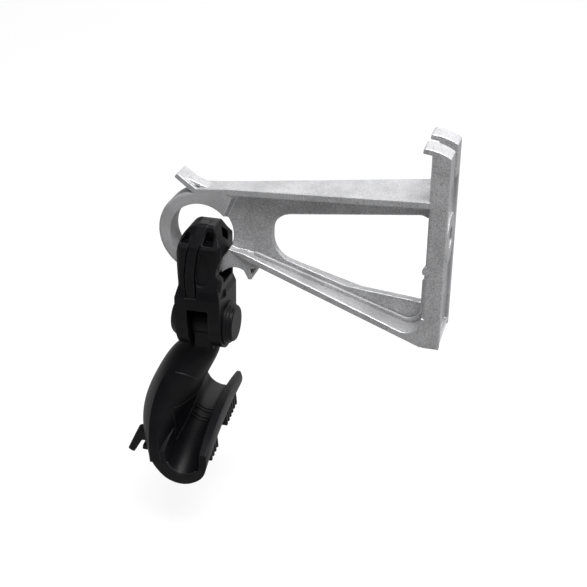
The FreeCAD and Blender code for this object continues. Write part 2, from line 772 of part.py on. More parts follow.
def link_blank():
    """The outer form of both halves together: an arch over the ring and a block below it."""
    wide = dim.link_half_width
    deep = dim.link_half_depth
    block = dim.block_half_depth
    crown = dim.link_crown
    waist = -dim.block_drop + 14
    foot = pin_z - dim.ear_radius
    arch_front = slab("arch_front", "XZ", [
        Corner(-3, crown),
        Corner(0.55 * wide, crown + 0.6, 3),
        Corner(wide - 1, crown - 14, 3),
        Corner(wide, waist),
        Corner(wide - 2, waist - 14),
        Corner(-wide + 2, waist - 14),
        Corner(-wide + 2.2, waist),
        Corner(-wide, crown - 24, 8),
        Corner(-wide + 3.6, crown - 12.5),
        Via(-10.8, crown - 4.2),
    ], deep)
    arch_side = slab("arch_side", "YZ", [
        Corner(-deep, waist - 14),
        Corner(-deep, crown - 17, 4),
        Corner(-deep + 7, crown - 8, 4),
        Corner(-deep + 11, crown, 3),
        Corner(deep - 11, crown, 3),
        Corner(deep - 7, crown - 8, 4),
        Corner(deep, crown - 17, 4),
        Corner(deep, waist - 14),
    ], wide)
    arch_plan = outline("arch_plan", "XY", [
        Corner(-wide, -deep, dim.link_corner),
        Corner(wide, -deep, dim.link_corner),
        Corner(wide, deep, dim.link_corner),
        Corner(-wide, deep, dim.link_corner),
    ])
    arch_trim = extrude("arch_trim", arch_plan, "z", -dim.pin_drop, 2 * crown)
    arch = common("link_arch", [arch_front, arch_side, arch_trim])
    block_side = slab("block_side", "YZ", [
        Corner(-deep + 2, waist),
        Corner(deep - 2, waist),
        Corner(block, waist - 12, 3),
        Corner(block, pin_z + 8, 6),
        Corner(dim.ear_radius, pin_z),
        Via(0, foot),
        Corner(-dim.ear_radius, pin_z),
        Corner(-block, pin_z + 8, 6),
        Corner(-block, waist - 12, 3),
    ], wide)
    block_front = slab("block_front", "XZ", [
        Corner(-wide + 3, waist),
        Corner(wide - 3, waist),
        Corner(wide, waist - 12, 4),
        Corner(wide, foot),
        Corner(-wide, foot),
        Corner(-wide, waist - 12, 4),
    ], block)
    return fuse("link_blank", [arch, common("link_block", [block_side, block_front])])


def link_openings():
    """The eye round the ring, the clevis gap, the pin's bore and the saddle's relief."""
    wide = 2 * dim.link_half_width
    inside = dim.link_leg_inside
    eye = slab("link_eye", "XZ", [
        Corner(-wide, -dim.link_eye_drop),
        Corner(wide, -dim.link_eye_drop),
        Corner(wide, 2 * dim.link_crown),
        Corner(-wide, 2 * dim.link_crown),
    ], inside)
    saddle = rod("link_saddle", "XZ", Corner(0, 0), dim.ring_bore_radius - dim.fit_gap,
                 -inside, inside)
    gap = slab("clevis_gap", "XZ", [
        Corner(-dim.clevis_half_gap, pin_z + dim.clevis_roof, 1.5),
        Corner(dim.clevis_half_gap, pin_z + dim.clevis_roof, 1.5),
        Corner(dim.clevis_half_gap, 2 * pin_z),
        Corner(-dim.clevis_half_gap, 2 * pin_z),
    ], 2 * dim.block_half_depth)
    bore = rod("pin_bore", "YZ", Corner(0, pin_z), dim.pin_radius, -wide, wide)
    return fuse("link_openings", [cut("link_eye_open", eye, saddle), gap, bore])


def strap_bow(half, low, high):
    """The slanted bow that the strap rib follows, as seen from the near side."""
    run = dim.rib_lean
    middles = (
        (0.26 * run, high, None),
        (0, 0.7, 12),
        (-0.46 * run, -14, 30),
        (-0.74 * run, -32, 30),
        (-0.6 * run, low, None),
    )
    left = [Corner(x - half, z, turn) for x, z, turn in middles]
    right = [Corner(x + half, z, turn) for x, z, turn in middles]
    return [*left, *right[::-1]]


def link_relief():
    """Grooves beside the strap rib, the pockets, the waist, the latch window and the slots."""
    deep = dim.link_half_depth
    wide = dim.link_half_width
    low = -dim.block_drop + 2
    high = dim.link_crown - 10
    cuts = []
    for side, sign in (("near", 1), ("far", -1)):
        groove_bow = strap_bow(dim.rib_half + dim.rib_groove, low, dim.link_crown + 1)
        if sign < 0:
            groove_bow = [Corner(-c.x, c.y, c.radius) for c in groove_bow[::-1]]
        cuts.append(slab("rib_groove_" + side, "XZ", groove_bow, 2.6, -sign * deep))
        cuts.append(slab("trapezoid_pocket_" + side, "XZ", [
            Corner(sign * 5.5, high + 6, 1),
            Corner(sign * 11.5, high + 6, 1),
            Corner(sign * 12.5, high - 4, 1),
            Corner(sign * 3.5, high - 4, 1),
        ][::sign], 5, -sign * (deep - 7.5)))
        cuts.append(slab("shoulder_pocket_" + side, "XZ", [
            Corner(sign * -14.5, high - 3.5, 1),
            Corner(sign * -10.5, high + 4, 1),
            Corner(sign * -7, high + 5, 1),
            Corner(sign * -8, high - 3.5, 1),
        ][::sign], 4, -sign * (deep - 7)))
        cuts.append(slab("leg_scoop_" + side, "XZ", [
            Corner(sign * 2.8, high - 8, 1.5),
            Corner(sign * 9, high - 10, 3),
            Corner(sign * 12.3, high - 28, 3),
            Corner(sign * 6.5, high - 38, 3),
            Corner(sign * -0.6, high - 38, 1.5),
            Corner(sign * -0.8, high - 26, 10),
        ][::sign], 2.2, -sign * deep))
    cuts.append(slab("leg_waist", "XZ", [
        Corner(wide + 3, -5),
        Corner(wide - 3.5, -26.5, 4),
        Corner(wide - 3.5, -31.5, 2),
        Corner(wide + 3, -38),
    ], 2 * deep))
    cuts.append(slab("side_facet", "YZ", [
        Corner(-17.5, -44.5, 1),
        Corner(-3.5, -47, 1),
        Corner(-5, -53.5, 1),
        Corner(-17.5, -51.5, 1),
    ], 1.6, wide))
    facet = Rotation(Vector(0, 1, 0), 54)
    diamond = facet.multiply(Rotation(Vector(0, 0, 1), 45))
    half = dim.latch_window / 2
    cuts.append(box_cut("latch_window", dim.link_half_width - 5, 3.4, dim.link_crown - 11.4,
                        half, half, 4, diamond))
    cuts.append(box_cut("side_slot", dim.link_half_width, 2, -dim.block_drop + 17, 1.5, 6, 0.8,
                        Rotation(Vector(1, 0, 0), 20)))
    return fuse("link_relief", cuts)


def strap_rib():
    """The raised rib that bows up the near face and over the top."""
    deep = dim.link_half_depth + dim.rib_proud
    inner = dim.link_half_depth - 4
    crown = dim.link_crown + dim.rib_proud
    low = -dim.block_drop - 6
    height = slab("strap_side", "YZ", [
        Corner(-inner, low),
        Corner(-deep, low),
        Corner(-deep, dim.link_crown - 16, 5),
        Corner(-deep + 7, dim.link_crown - 6, 4),
        Corner(-deep + 12, crown, 4),
        Corner(2, crown, 0.6),
        Corner(2, dim.link_crown - 4),
        Corner(-deep + 14, dim.link_crown - 4),
        Corner(-inner, dim.link_crown - 18),
    ], dim.link_half_width)
    bow = slab("strap_front", "XZ", strap_bow(dim.rib_half, low - 1, crown + 1), 2 * deep)
    return common("strap_rib", [height, bow])


def link_halves():
    """The two halves, which meet at the middle of the ring eye."""
    smooth = cut("link_relieved", link_blank(), link_relief())
    whole = cut("link_whole", fuse("link_ribbed", [smooth, strap_rib()]), link_openings())
    reach = 3 * dim.block_half_depth
    halves = []
    for name, middle in (("link_front_half", -reach), ("link_rear_half", reach)):
        keep = slab(name + "_side", "XZ", [
            Corner(-reach, -2 * dim.pin_drop),
            Corner(reach, -2 * dim.pin_drop),
            Corner(reach, dim.pin_drop),
            Corner(-reach, dim.pin_drop),
        ], reach, middle)
        half = common(name + "_solid", [whole, keep])
        halves.append(hang(half, name, ring_x, as_size(ring_z)))
    return halves


def turned(name, label, profile):
    """A turned piece about the pin's axis, from a half profile of distance and radius."""
    body = doc.addObject("PartDesign::Body", name)
    planes = {item.Role: item for item in body.Origin.OriginFeatures}
    sketch = outline(name + "_profile", "XZ", profile)
    body.addObject(sketch)
    sketch.AttachmentSupport = (planes["XZ_Plane"], "")
    sketch.MapMode = "FlatFace"
    spin = body.newObject("PartDesign::Revolution", name + "_turn")
    spin.Profile = sketch
    spin.ReferenceAxis = (sketch, ["H_Axis"])
    spin.Angle = 360
    return hang(body, label, ring_x, ring_z + pin_z)


def pivot_pin():
    """The pin with its two steps and its domed head on the pole side."""
    ear = dim.link_half_width
    step = dim.pin_step_plate
    head = ear + 2 * step
    end = ear + 2 * step + dim.pin_head_plate
    tail = -ear - dim.pin_head_plate
    return turned("pin", "pivot_pin", [
        Corner(tail, 0),
        Corner(tail, dim.pin_radius - 2.5),
        Corner(tail + 2, dim.pin_radius - 2.5),
        Corner(tail + 2, dim.pin_radius),
        Corner(ear, dim.pin_radius),
        Corner(ear, dim.pin_head_radius + 3.4),
        Corner(ear + step - 0.7, dim.pin_head_radius + 3.4),
        Corner(ear + step, dim.pin_head_radius + 2.7),
        Corner(ear + step, dim.pin_head_radius + 1.6),
        Corner(head - 0.7, dim.pin_head_radius + 1.6),
        Corner(head, dim.pin_head_radius + 0.9),
        Corner(head, dim.pin_head_radius),
        Corner(end - 1, dim.pin_head_radius),
        Corner(end, dim.pin_head_radius - 1),
        Corner(end, 0),
    ])


def pin_cap():
    """The cap that snaps over the pin's other end."""
    ear = dim.link_half_width
    step = dim.pin_step_plate
    tail = -ear - dim.pin_head_plate
    end = -ear - step - dim.pin_cap_plate
    return turned("cap", "pin_cap", [
        Corner(end, 0),
        Corner(end, dim.pin_cap_radius - 4.2),
        Corner(end + 1, dim.pin_cap_radius - 3),
        Corner(-ear - step - 0.6, dim.pin_cap_radius - 0.6),
        Corner(-ear - step + 0.4, dim.pin_cap_radius),
        Corner(-ear, dim.pin_cap_radius),
        Corner(-ear, dim.pin_radius),
        Corner(tail + 2, dim.pin_radius),
        Corner(tail + 2, dim.pin_radius - 2.5),
        Corner(tail, dim.pin_radius - 2.5),
        Corner(tail, 0),
    ])


# The cable clamp, in its own frame: origin on the pivot pin, before it hangs at its pitch


def wing_section(name, height, tip_x, tip_y, outer, inner, plate):
    """A level section of the back wall: thick in the middle and thin at its two tips."""
    return outline(name, "XY", [
        Corner(tip_x, -tip_y),
        Corner(tip_x + plate, -tip_y),
        Via(inner, 0),
        Corner(tip_x + plate, tip_y),
        Corner(tip_x, tip_y),
        Via(outer, 0),
    ], height)


def back_wall():
    """The back wall, a lofted shell that widens from the hub down to the groove."""
    end = dim.clamp_half_length
    hub = dim.hub_half
    floor = -dim.groove_floor
    edge = dim.wing_plate
    sections = [
        wing_section("wall_throat", -dim.wall_throat, -hub, 0.18 * end, -hub - 0.3, hub, 2 * hub - 1),
        wing_section("wall_shoulder", floor + dim.wall_high, -dim.face_high, 0.35 * end,
                     -dim.back_high, hub - 2, edge),
        wing_section("wall_upper", floor + dim.wall_middle, -dim.face_middle, 0.62 * end,
                     -dim.back_middle, -dim.tip_middle, edge + 0.5),
        wing_section("wall_lower", floor + dim.wall_low, -dim.face_low, 0.86 * end,
                     -dim.back_low, -dim.tip_low, edge + 3),
        wing_section("wall_foot", floor + 2, -dim.face_foot, end,
                     -dim.back_foot, -dim.tip_foot, edge + 6),
    ]
    return loft("back_wall", sections)


def trough_section(name, y, droop, flare, bulge, lip_plate, upstand):
    """An upright section of the trough under the cable, outside faces only."""
    middle = -dim.groove_offset
    floor = -dim.groove_floor - droop
    centre = floor + dim.groove_radius
    lip = centre + dim.lip_height
    right = middle + dim.groove_radius + dim.groove_flare + lip_plate
    inner = middle + dim.groove_radius + flare - 1
    left = middle - dim.groove_radius - flare - 14
    bottom = -dim.groove_floor - dim.groove_droop - dim.floor_plate
    return outline(name, "XZ", [
        Corner(left - bulge, centre + upstand),
        Corner(middle - 5, centre + upstand),
        Corner(middle, centre),
        Corner(inner, centre + 6),
        Corner(inner, lip),
        Corner(right, lip),
        Via(right - 2.2, floor + 3),
        Corner(middle + 8, bottom + 3.4),
        Via(middle - 7, bottom),
        Corner(middle - 19, bottom + 7),
        Via(left - bulge + 5, centre - 8),
    ], y)


def trough():
    """The trough under the groove, its floor falling and widening towards both ends."""
    end = dim.clamp_half_length
    droop = dim.groove_droop
    flare = dim.groove_flare
    lip = dim.lip_plate
    sections = [
        trough_section("trough_near", -end, droop, flare, 0, lip, 6),
        trough_section("trough_middle", 0, 0, 0, 10, lip, 20),
        trough_section("trough_far", end, droop, flare, 0, lip / 2, 6),
    ]
    whole = loft("trough_whole", sections)
    floor = -dim.groove_floor
    trim = slab("trough_trim", "YZ", [
        Corner(-end, 2 * floor),
        Corner(end, 2 * floor),
        Corner(end, floor + 2),
        Corner(0.86 * end, floor + dim.wall_low),
        Corner(0.62 * end, floor + dim.wall_middle),
        Corner(-0.62 * end, floor + dim.wall_middle),
        Corner(-0.86 * end, floor + dim.wall_low),
        Corner(-end, floor + 2),
    ], 3 * end)
    return common("trough", [whole, trim])


def groove_section(name, y, droop, flare, lean):
    """A section of the groove: a round floor with its open side up to the right."""
    middle = -dim.groove_offset
    floor = -dim.groove_floor - droop
    wide = dim.groove_radius + flare
    centre = floor + dim.groove_radius
    top = centre + dim.lip_height
    return outline(name, "XZ", [
        Corner(middle - wide, centre),
        Via(middle, floor),
        Corner(middle + wide, centre),
        Corner(middle + wide, top - 2),
        Corner(middle + wide + 1.5, top + 14),
        Corner(middle - wide + lean, top + 14),
    ], y)


def groove():
    """The space for the cable."""
    reach = dim.clamp_half_length + 1
    sections = [
        groove_section("groove_near", -reach, dim.groove_droop, dim.groove_flare, -10),
        groove_section("groove_middle", 0, 0, 0, 7),
        groove_section("groove_far", reach, dim.groove_droop, dim.groove_flare, -10),
    ]
    return loft("groove", sections)


def hub():
    """The hub round the pin and the neck down to the back wall."""
    half = dim.hub_half
    ring = rod("hub_ring", "YZ", Corner(0, 0), dim.hub_radius, -half, half)
    neck = slab("hub_neck", "YZ", [
        Corner(-dim.hub_radius + 1, 2),
        Corner(dim.hub_radius - 1, 2),
        Corner(dim.hub_radius - 2, -dim.wall_throat - 1),
        Corner(-dim.hub_radius + 2, -dim.wall_throat - 1),
    ], half)
    return fuse("hub", [ring, neck])


def jaw_profile(name, gap, y, half):
    """The pad's profile in the back wall, or its pocket where a gap is given."""
    rear = jaw_rear()
    top = dim.jaw_height - dim.groove_floor
    low = dim.groove_radius - dim.groove_floor - 3
    return slab(name, "XZ", [
        Corner(rear - gap, low - gap),
        Corner(rear - gap, top + gap),
        Corner(rear + dim.jaw_rise, top + dim.jaw_rise + gap),
        Corner(-dim.groove_offset + 5, top + dim.jaw_rise + gap),
        Corner(-dim.groove_offset - 9, low - gap),
    ], half, y)


def leg_top():
    """Height of the legs' upper face, under the groove's floor."""
    return -dim.groove_floor - dim.leg_cover


def jaw_rear():
    """The plane of the jaw's back face."""
    return -dim.groove_offset - dim.groove_radius - dim.jaw_setback


def finger_inside():
    """The inner face of the fingers, in their pockets outside the groove."""
    return dim.leg_reach - dim.groove_offset - dim.finger_plate


def finger_comb(y, run, ribs):
    """The plan of a ribbed finger, thinner where it runs on past its leg."""
    half = dim.leg_half_width
    inside = finger_inside()
    crest = inside + dim.finger_plate
    dip = crest - dim.tooth_depth
    corners = [Corner(inside, y - half)]
    for index in range(ribs):
        start = y - half + index * dim.tooth_pitch
        end = start + dim.tooth_pitch - dim.tooth_gap
        corners.append(Corner(crest - 0.6, start))
        corners.append(Corner(crest, start + 0.8))
        corners.append(Corner(crest, end - 0.8))
        corners.append(Corner(crest - 0.6, end))
        if index < ribs - 1:
            corners.append(Corner(dip, end + 0.2))
            corners.append(Corner(dip, end + dim.tooth_gap - 0.2))
    if run:
        corners.append(Corner(inside + 2, y + half + run))
        corners.append(Corner(inside + 2, y + half))
    corners.append(Corner(inside, y + half))
    return corners


def leg(side, y, run, ribs):
    """One leg: a riser from the pad, a bar under the groove and a ribbed finger at its end."""
    rear = jaw_rear()
    top = leg_top()
    low = top - dim.leg_plate
    inside = finger_inside()
    bar = slab("leg_bar_" + side, "XZ", [
        Corner(rear - 19, low + 1, 1),
        Corner(rear - 18, top, 1),
        Corner(rear, top),
        Corner(rear, top + dim.riser_height),
        Corner(rear + dim.riser_plate, top + dim.riser_height),
        Corner(rear + dim.riser_plate, top),
        Corner(inside + 2, top),
        Corner(inside + 2, low),
    ], dim.leg_half_width, y)
    comb = outline("finger_comb_" + side, "XY", finger_comb(y, run, ribs), low)
    finger = extrude("finger_" + side, comb, "z", 0, dim.finger_height)
    return fuse("leg_" + side, [bar, finger])


def pull_tail(name, y):
    """A tail on the jaw's back, bent down outside the wall."""
    rear = jaw_rear()
    top = leg_top() + dim.tail_high
    low = leg_top() + dim.tail_low
    return slab(name, "XZ", [
        Corner(rear + 2, top),
        Corner(rear + 2, low),
        Corner(rear - 17, low, 2),
        Corner(rear - 26, low - 16, 2),
        Corner(rear - 31, low - 12.5, 2),
        Corner(rear - 21, top, 5),
    ], dim.tail_half_width, y)


def leg_tunnels(side, y, run):
    """The slots through the clamp's body that one leg, its riser and its finger slide in."""
    gap = dim.fit_gap
    rear = jaw_rear()
    far = 3 * dim.groove_radius
    half = dim.leg_half_width + gap
    top = leg_top()
    low = top - dim.leg_plate
    inside = finger_inside()
    under = slab("leg_tunnel_" + side, "XZ", [
        Corner(rear - far, low - gap),
        Corner(rear - far, top + gap),
        Corner(inside - gap, top + gap),
        Corner(inside - gap, low + dim.finger_height + gap),
        Corner(far, low + dim.finger_height + gap),
        Corner(far, low - gap),
    ], half, y)
    front = rear + dim.riser_plate + dim.jaw_travel + gap
    riser = slab("riser_slot_" + side, "XZ", [
        Corner(rear - gap, low - gap),
        Corner(rear - gap, top + dim.riser_height + gap),
        Corner(front, top + dim.riser_height + gap),
        Corner(front, low - gap),
    ], half, y)
    slots = [under, riser]
    if run:
        start = inside + 2 - gap
        slots.append(box_cut("finger_pocket_" + side, start + far / 2, y + half,
                             low + dim.finger_height / 2, far / 2, run,
                             dim.finger_height / 2 + gap))
    return slots


def tail_slot(side, y):
    """The slot that a pull tail comes out of and moves in."""
    gap = dim.fit_gap
    back = jaw_rear() - 3 * dim.groove_radius
    front = jaw_rear() + 2 + dim.jaw_travel + gap
    return slab("tail_slot_" + side, "XZ", [
        Corner(back, leg_top() + dim.tail_low - gap),
        Corner(back, leg_top() + dim.tail_high + gap),
        Corner(front, leg_top() + dim.tail_high + gap),
        Corner(front, leg_top() + dim.tail_low - gap),
    ], dim.tail_half_width + gap, y)


def jaw_chamber():
    """The space in the thick wall behind and above the grip jaw, open towards it."""
    rear = jaw_rear()
    floor = -dim.groove_floor
    return slab("jaw_chamber", "XZ", [
        Corner(rear + 1, floor + dim.chamber_foot),
        Corner(rear - dim.chamber_depth, floor + dim.chamber_foot, 3),
        Corner(rear - dim.chamber_depth, floor + dim.chamber_waist, 3),
        Corner(rear - 3, floor + dim.chamber_roof - 2, 4),
        Corner(rear + dim.chamber_run, floor + dim.chamber_roof, 4),
        Corner(rear + dim.chamber_run, floor + dim.chamber_mouth),
        Corner(rear + 1, floor + dim.chamber_mouth),
    ], dim.chamber_half)


def clamp():
    """The clamp's body and the grip jaw that slides in it."""
    solid = fuse("clamp_solid", [back_wall(), trough(), hub()])
    shaped = cut("clamp_shaped", solid, groove())
    bore = rod("clamp_bore", "YZ", Corner(0, 0), dim.pin_radius + dim.pivot_gap,
               -dim.pin_drop, dim.pin_drop)
    gap = dim.fit_gap
    spaces = [bore, jaw_chamber(), jaw_profile("jaw_pocket", gap, 0, dim.jaw_half_length + gap)]
    legs = []
    for side, sign, run, ribs in (("near", -1, 0, 4), ("far", 1, dim.finger_run, 6)):
        spaces.extend(leg_tunnels(side, sign * dim.leg_spacing, run))
        spaces.append(tail_slot(side, sign * dim.tail_spacing))
        legs.append(leg(side, sign * dim.leg_spacing, run, ribs))
        legs.append(pull_tail("tail_" + side, sign * dim.tail_spacing))
    body = cut("clamp_bored", shaped, fuse("clamp_spaces", spaces))
    pad_block = jaw_profile("jaw_block", 0, 0, dim.jaw_half_length)
    pad = common("jaw_pad", [pad_block, shaped])
    jaw = fuse("jaw", [pad, *legs])
    place = (ring_x, ring_z + pin_z, dim.clamp_pitch)
    return [hang(body, "clamp_body", *place), hang(jaw, "grip_jaw", *place)]


pieces = [bracket(), *link_halves(), pivot_pin(), pin_cap(), *clamp()]

doc.recompute()
for item in doc.Objects:
    if "Invalid" in item.State or "Error" in item.State:
        raise RuntimeError("failed: %s %s" % (item.Name, item.State))
os.makedirs("parts", exist_ok=True)
for piece in pieces:
    shape = piece.Shape
    if shape.isNull() or not shape.isValid():
        raise RuntimeError("bad shape: " + piece.Label)
    shape.exportStep("parts/%s.step" % piece.Label)
    print(piece.Label, len(shape.Solids), "solid", round(shape.Volume), "mm3")
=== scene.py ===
"""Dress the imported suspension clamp: a cast pole bracket, a moulded link and a cable clamp."""

from __future__ import annotations

import logging
import math
from abc import ABC, abstractmethod
from dataclasses import dataclass
from enum import Enum

import bpy
import numpy as np
from mathutils import Matrix, Vector


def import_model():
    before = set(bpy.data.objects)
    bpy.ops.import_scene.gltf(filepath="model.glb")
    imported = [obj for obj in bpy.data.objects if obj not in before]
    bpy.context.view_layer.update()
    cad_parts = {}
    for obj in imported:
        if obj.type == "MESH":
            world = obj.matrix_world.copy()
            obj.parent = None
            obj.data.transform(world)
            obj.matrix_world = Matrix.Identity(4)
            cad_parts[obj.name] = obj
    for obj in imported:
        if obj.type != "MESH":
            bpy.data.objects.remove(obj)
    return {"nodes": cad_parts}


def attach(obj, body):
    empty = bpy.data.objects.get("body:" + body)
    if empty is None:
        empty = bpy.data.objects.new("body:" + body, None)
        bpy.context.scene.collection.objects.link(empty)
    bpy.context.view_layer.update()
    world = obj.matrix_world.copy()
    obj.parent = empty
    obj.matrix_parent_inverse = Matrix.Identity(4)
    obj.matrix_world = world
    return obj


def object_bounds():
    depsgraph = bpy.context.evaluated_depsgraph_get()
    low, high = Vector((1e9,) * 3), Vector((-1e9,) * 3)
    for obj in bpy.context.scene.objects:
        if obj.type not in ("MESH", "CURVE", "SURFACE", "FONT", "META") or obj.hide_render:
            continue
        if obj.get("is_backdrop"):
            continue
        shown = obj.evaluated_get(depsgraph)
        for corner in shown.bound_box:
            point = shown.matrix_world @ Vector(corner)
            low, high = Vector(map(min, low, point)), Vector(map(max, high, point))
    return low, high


log = logging.getLogger("suspension_clamp")

PHOTO_SIZE = 587
MILLIMETRE = 0.001
WHITE = (1.0, 1.0, 1.0)

# Rays that a Bevel or an Ambient Occlusion node sends out
NODE_RAYS = 6

# Sockets of the Mix node that carry colours: their names are shared with other types
MIX_SHARE = 0
MIX_FIRST = 6
MIX_SECOND = 7
MIX_RESULT = 2

Triple = tuple[float, float, float]
Pair = tuple[float, float]
Skin = tuple[np.ndarray, list[list[int]]]


class Slot(Enum):
    """The record's material slots."""

    ALLOY = "cast_alloy"
    POLYMER = "black_polymer"


class Body(Enum):
    """The bodies that pieces ride on."""

    FRAME = "frame"
    LINK = "link"
    CLAMP = "clamp"


# Shader maths


@dataclass(frozen=True)
class Noise:
    """A noise's repeats per metre, its octaves and how strong the small octaves are."""

    scale: float
    detail: float
    rough: float


@dataclass(frozen=True)
class Ramp:
    """A smooth step from 0 at low to 1 at high, held at both ends."""

    low: float
    high: float


@dataclass(frozen=True)
class PaintedShade:
    """Painted shade in places that are shut in: how far in metres, how fast and how much."""

    reach: float
    ramp: Ramp
    share: float


class Signal:
    """An output socket of a node tree that adds Math nodes when it is reckoned with."""

    def __init__(self, graph: Graph, socket: bpy.types.NodeSocket) -> None:
        """Keep the graph and the socket.

        Args:
            graph: The graph that new nodes go into.
            socket: The socket that carries the value.
        """
        self.graph = graph
        self.socket = socket

    def _math(self, operation: str, *values: Signal | float) -> Signal:
        """Add one Math node.

        Args:
            operation: The node's operation.
            values: Its inputs in order.

        Returns:
            The result.
        """
        return self.graph.node("ShaderNodeMath", {"operation": operation}, dict(enumerate(values)))

    def __add__(self, other: Signal | float) -> Signal:
        """Sum."""
        return self._math("ADD", self, other)

    __radd__ = __add__

    def __sub__(self, other: Signal | float) -> Signal:
        """Difference."""
        return self._math("SUBTRACT", self, other)

    def __rsub__(self, other: Signal | float) -> Signal:
        """Difference from a number."""
        return self._math("SUBTRACT", other, self)

    def __mul__(self, other: Signal | float) -> Signal:
        """Product."""
        return self._math("MULTIPLY", self, other)

    __rmul__ = __mul__

    def along(self, ramp: Ramp) -> Signal:
        """Put the value through a ramp.

        Args:
            ramp: The ramp.

        Returns:
            The ramped value, from 0 to 1.
        """
        settings = {"interpolation_type": "SMOOTHSTEP", "clamp": True}
        inputs = {"Value": self, "From Min": ramp.low, "From Max": ramp.high}
        return self.graph.node("ShaderNodeMapRange", settings, inputs)


class Graph:
    """The node tree of a material or a world."""

    def __init__(self, owner: bpy.types.Material | bpy.types.World) -> None:
        """Start with an empty tree.

        Args:
            owner: What the tree belongs to.
        """
        owner.use_nodes = True
        self.tree = owner.node_tree
        self.tree.nodes.clear()

    def node(self, kind: str, settings: dict, inputs: dict, out: int | str = 0) -> Signal:
        """Add a node, set it up and feed its sockets.

        Args:
            kind: The node's type.
            settings: Its properties, which are set first.
            inputs: Values or signals by socket name or number.
            out: The output to hand on.

        Returns:
            The chosen output.
        """
        made = self.tree.nodes.new(kind)
        for key, value in settings.items():
            setattr(made, key, value)
        for key, value in inputs.items():
            if isinstance(value, Signal):
                self.tree.links.new(value.socket, made.inputs[key])
            else:
                made.inputs[key].default_value = value
        return Signal(self, made.outputs[out])

    def close(self, kind: str, shader: Signal) -> None:
        """Feed a shader to the tree's output.

        Args:
            kind: The output node's type.
            shader: The shader.
        """
        output = self.tree.nodes.new(kind)
        self.tree.links.new(shader.socket, output.inputs["Surface"])

    def noise(self, noise: Noise) -> Signal:
        """Noise over the object, in object coordinates.

        Args:
            noise: The noise's settings.

        Returns:
            The noise, from 0 to 1.
        """
        place = self.node("ShaderNodeTexCoord", {}, {}, "Object")
        inputs = {"Vector": place, "Scale": noise.scale, "Detail": noise.detail,
                  "Roughness": noise.rough}
        return self.node("ShaderNodeTexNoise", {}, inputs, "Fac")

    def blend(self, share: Signal, first: Triple | Signal, second: Triple) -> Signal:
        """Mix two colours.

        Args:
            share: The second colour's share.
            first: Colour at 0.
            second: Colour at 1.

        Returns:
            The colour.
        """
        inputs = {MIX_SHARE: share, MIX_FIRST: self.rgba(first), MIX_SECOND: self.rgba(second)}
        return self.node("ShaderNodeMix", {"data_type": "RGBA"}, inputs, MIX_RESULT)

    @staticmethod
    def rgba(colour: Triple | Signal) -> tuple | Signal:
        """A colour with its alpha, or a signal as it is."""
        return colour if isinstance(colour, Signal) else (*colour, 1.0)

    def soft_edges(self, radius: float) -> Signal:
        """The normal with every sharp edge rounded by a radius in metres."""
        return self.node("ShaderNodeBevel", {"samples": NODE_RAYS}, {"Radius": radius})

    def edge_mask(self, rounded: Signal) -> Signal:
        """Where edges are: 1 less the cosine between the rounded and the true normal.

        Args:
            rounded: The normal with rounded edges.

        Returns:
            Near 0 on faces and up to 0.3 on edges.
        """
        true = self.node("ShaderNodeNewGeometry", {}, {}, "Normal")
        dot = self.node("ShaderNodeVectorMath", {"operation": "DOT_PRODUCT"},
                        {0: rounded, 1: true}, "Value")
        return 1.0 - dot

    def painted_shade(self, painted_shade: PaintedShade) -> Signal:
        """Painted shade: a darker colour where ambient occlusion finds the place shut in.

        Args:
            painted_shade: The painted shade's settings.

        Returns:
            The painted shade's share, 0 in the open and up to its share in corners.
        """
        settings = {"samples": NODE_RAYS}
        open_share = self.node("ShaderNodeAmbientOcclusion", settings, {"Distance": painted_shade.reach},
                               "AO")
        return (1.0 - open_share).along(painted_shade.ramp) * painted_shade.share

    def bump(self, height: Signal, depth: float, base: Signal) -> Signal:
        """A bumped normal.

        Args:
            height: Height from 0 to 1.
            depth: Height of a full step in metres.
            base: The normal under the bumps.

        Returns:
            The normal.
        """
        inputs = {"Strength": 1.0, "Distance": depth, "Height": height, "Normal": base}
        return self.node("ShaderNodeBump", {}, inputs)


# Finishes

Inputs = dict[str, Signal | float | tuple]


class Finish(ABC):
    """A look that can be made into a material."""

    name: str

    @abstractmethod
    def inputs(self, graph: Graph) -> Inputs:
        """Work out what the principled shader is fed.

        Args:
            graph: The material's graph.

        Returns:
            The values or signals by socket name.
        """

    def material(self) -> bpy.types.Material:
        """Build the material.

        Returns:
            The material, named as the finish is.
        """
        made = bpy.data.materials.new(self.name)
        graph = Graph(made)
        shader = graph.node("ShaderNodeBsdfPrincipled", {}, self.inputs(graph), "BSDF")
        graph.close("ShaderNodeOutputMaterial", shader)
        return made


